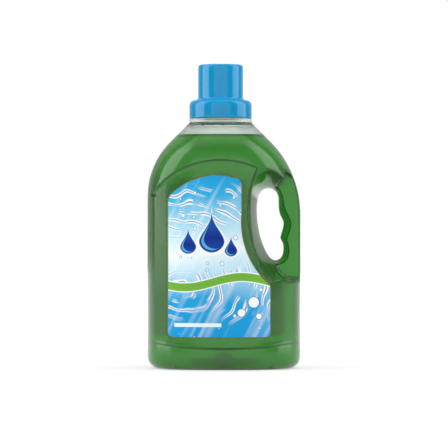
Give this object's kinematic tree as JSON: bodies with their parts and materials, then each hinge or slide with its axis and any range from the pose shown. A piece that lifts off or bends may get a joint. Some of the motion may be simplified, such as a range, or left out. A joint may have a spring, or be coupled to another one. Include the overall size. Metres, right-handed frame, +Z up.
{
  "type": "laundry detergent bottle",
  "caption": "Clear blow-moulded bottle with a moulded-in grip handle, filled with green liquid, closed by a screw-on dosing cap over a drain-back spout.",
  "frame": {"origin": "middle of the footprint, on the surface that the bottle stands on", "axes": "+Z up along the neck, +X towards the handle, -Y towards the front label"},
  "size_m": [0.1782, 0.1402, 0.353],
  "materials": {
    "clear_plastic": "gloss",
    "green_liquid": "gloss",
    "label_film": "satin",
    "spout_plastic": "satin",
    "seal_foam": "matte",
    "cap_plastic": "gloss"
  },
  "bodies": {
    "bottle_body": {"bottle": "clear_plastic", "liquid_detergent": "green_liquid", "front_label": "label_film", "back_label": "label_film", "pour_spout": "spout_plastic"},
    "cap_carrier": {"cap_seal": "seal_foam"},
    "cap_body": {"dosing_cap": "cap_plastic"}
  },
  "joints": [
    {"name": "cap_lift", "type": "slide", "parent": "bottle_body", "child": "cap_carrier", "axis": [0, 0, 1], "range_m": [0, 0.00625]},
    {"name": "cap_turn", "type": "hinge", "parent": "cap_carrier", "child": "cap_body", "pos_m": [-0.004, 0, 0.3], "axis": [0, 0, 1], "range_deg": [0, 450]}
  ],
  "couplings": [
    {"joint": "cap_lift", "follows": "cap_turn", "m_per_rad": 0.00079577}
  ]
}
